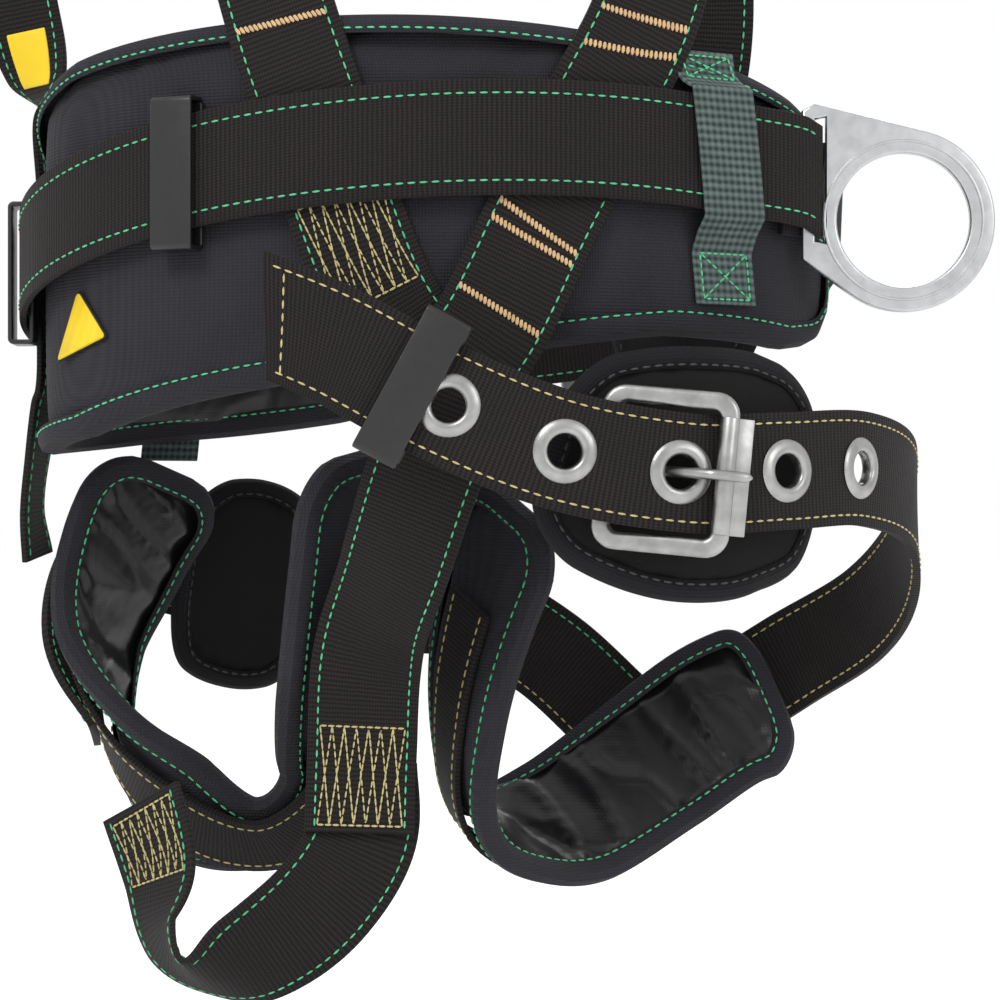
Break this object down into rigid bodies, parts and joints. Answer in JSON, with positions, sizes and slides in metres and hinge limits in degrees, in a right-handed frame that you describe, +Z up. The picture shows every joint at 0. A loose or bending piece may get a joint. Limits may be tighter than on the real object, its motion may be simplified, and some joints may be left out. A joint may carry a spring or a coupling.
{
  "type": "tree climbing saddle",
  "caption": "Climbing saddle with a padded waist belt, two padded leg loops, crossed back straps, a webbing lift loop, side D-rings and tongue buckles on punched webbing.",
  "frame": {"origin": "centre of the waist opening, level with the middle of the belt", "axes": "+Z up, -Y towards the wearer's back, +X to the wearer's right"},
  "size_m": [0.4302, 0.3018, 0.4649],
  "materials": {
    "pad_canvas": "matte woven canvas cover with a bound edge",
    "foam_core": "closed-cell foam sheet",
    "pad_lining": "smooth wrinkled lining",
    "black_webbing": "ribbed fire-resistant webbing, green edge stitching",
    "grey_webbing": "basket-weave nylon",
    "backing_suede": "suede backing with a bound edge",
    "coated_steel": "black powder coat",
    "forged_aluminium": "pale satin, forged",
    "zinc_steel": "zinc plated, satin"
  },
  "bodies": {
    "root": {"back_strap_left": "black_webbing", "back_strap_right": "black_webbing", "belt_loop_left": "grey_webbing", "belt_loop_right": "grey_webbing", "front_belt": "black_webbing", "front_belt_grommet_1": "zinc_steel", "front_belt_grommet_2": "zinc_steel", "front_buckle_frame": "zinc_steel", "front_buckle_pad": "backing_suede", "front_strap_left": "black_webbing", "front_strap_right": "black_webbing", "left_hip_strap": "black_webbing", "left_leg_buckle_frame": "zinc_steel", "left_leg_buckle_pad": "backing_suede", "left_leg_pad_cover": "pad_canvas", "left_leg_pad_foam": "foam_core", "left_leg_pad_lining": "pad_lining", "left_leg_pad_webbing": "black_webbing", "left_leg_strap": "black_webbing", "left_leg_strap_grommet_1": "zinc_steel", "left_leg_strap_grommet_2": "zinc_steel", "left_leg_strap_grommet_3": "zinc_steel", "left_leg_strap_grommet_4": "zinc_steel", "lift_loop": "black_webbing", "right_leg_buckle_frame": "zinc_steel", "right_leg_buckle_pad": "backing_suede", "right_leg_pad_cover": "pad_canvas", "right_leg_pad_foam": "foam_core", "right_leg_pad_lining": "pad_lining", "right_leg_pad_webbing": "black_webbing", "right_leg_strap": "black_webbing", "right_leg_strap_grommet_1": "zinc_steel", "right_leg_strap_grommet_2": "zinc_steel", "right_leg_strap_grommet_3": "zinc_steel", "right_leg_strap_grommet_4": "zinc_steel", "right_leg_strap_grommet_5": "zinc_steel", "waist_belt": "black_webbing", "waist_pad_cover": "pad_canvas", "waist_pad_foam": "foam_core", "waist_pad_lining": "pad_lining"},
    "d_ring_right": {"d_ring_right": "forged_aluminium"},
    "d_ring_left": {"d_ring_left": "forged_aluminium"},
    "belt_keeper_rear": {"belt_keeper_rear": "coated_steel"},
    "belt_keeper_left": {"belt_keeper_left": "coated_steel"},
    "right_leg_keeper": {"right_leg_keeper": "coated_steel"},
    "left_leg_keeper": {"left_leg_keeper": "coated_steel"},
    "right_leg_buckle_roller": {"right_leg_buckle_roller": "zinc_steel"},
    "right_leg_buckle_tongue": {"right_leg_buckle_tongue": "zinc_steel"},
    "left_leg_buckle_roller": {"left_leg_buckle_roller": "zinc_steel"},
    "left_leg_buckle_tongue": {"left_leg_buckle_tongue": "zinc_steel"},
    "front_buckle_roller": {"front_buckle_roller": "zinc_steel"},
    "front_buckle_tongue": {"front_buckle_tongue": "zinc_steel"}
  },
  "joints": [
    {"name": "d_ring_right_hinge", "type": "hinge", "parent": "root", "child": "d_ring_right", "pos_m": [0.15156, -0.06035, 0.02568], "axis": [0, 0, 1], "range_deg": [-35, 40]},
    {"name": "d_ring_left_hinge", "type": "hinge", "parent": "root", "child": "d_ring_left", "pos_m": [-0.00921, 0.11874, -0.03608], "axis": [0, 0, 1], "range_deg": [0, 75]},
    {"name": "right_leg_buckle_roller_hinge", "type": "hinge", "parent": "root", "child": "right_leg_buckle_roller", "pos_m": [0.11068, -0.14866, -0.09419], "axis": [-0.0942, -0.0169, -0.9954], "range_deg": [0, 20]},
    {"name": "right_leg_buckle_tongue_hinge", "type": "hinge", "parent": "root", "child": "right_leg_buckle_tongue", "pos_m": [0.06652, -0.14396, -0.09009], "axis": [-0.0942, -0.0169, -0.9954], "range_deg": [0, 2]},
    {"name": "left_leg_buckle_roller_hinge", "type": "hinge", "parent": "root", "child": "left_leg_buckle_roller", "pos_m": [-0.08059, 0.13068, -0.14496], "axis": [0.195, 0.0447, 0.9798], "range_deg": [0, 20]},
    {"name": "left_leg_buckle_tongue_hinge", "type": "hinge", "parent": "root", "child": "left_leg_buckle_tongue", "pos_m": [-0.11616, 0.10506, -0.13671], "axis": [0.195, 0.0447, 0.9798], "range_deg": [0, 2]},
    {"name": "front_buckle_roller_hinge", "type": "hinge", "parent": "root", "child": "front_buckle_roller", "pos_m": [0.11245, 0.06807, -0.01376], "axis": [0.173, -0.1568, -0.9723], "range_deg": [0, 20]},
    {"name": "front_buckle_tongue_hinge", "type": "hinge", "parent": "root", "child": "front_buckle_tongue", "pos_m": [0.1323, 0.02935, -0.00398], "axis": [0.173, -0.1568, -0.9723], "range_deg": [0, 2]},
    {"name": "belt_keeper_rear_slide", "type": "slide", "parent": "root", "child": "belt_keeper_rear", "axis": [0.9166, -0.3998, 0], "range_m": [-0.004, 0.004]},
    {"name": "belt_keeper_left_slide", "type": "slide", "parent": "root", "child": "belt_keeper_left", "axis": [0.0549, -0.9985, 0], "range_m": [-0.004, 0.004]},
    {"name": "left_leg_keeper_slide", "type": "slide", "parent": "root", "child": "left_leg_keeper", "axis": [0.8521, -0.2554, -0.4569], "range_m": [-0.004, 0.004]},
    {"name": "right_leg_keeper_slide", "type": "slide", "parent": "root", "child": "right_leg_keeper", "axis": [0.8793, -0.0361, -0.4748], "range_m": [-0.004, 0.002]}
  ]
}
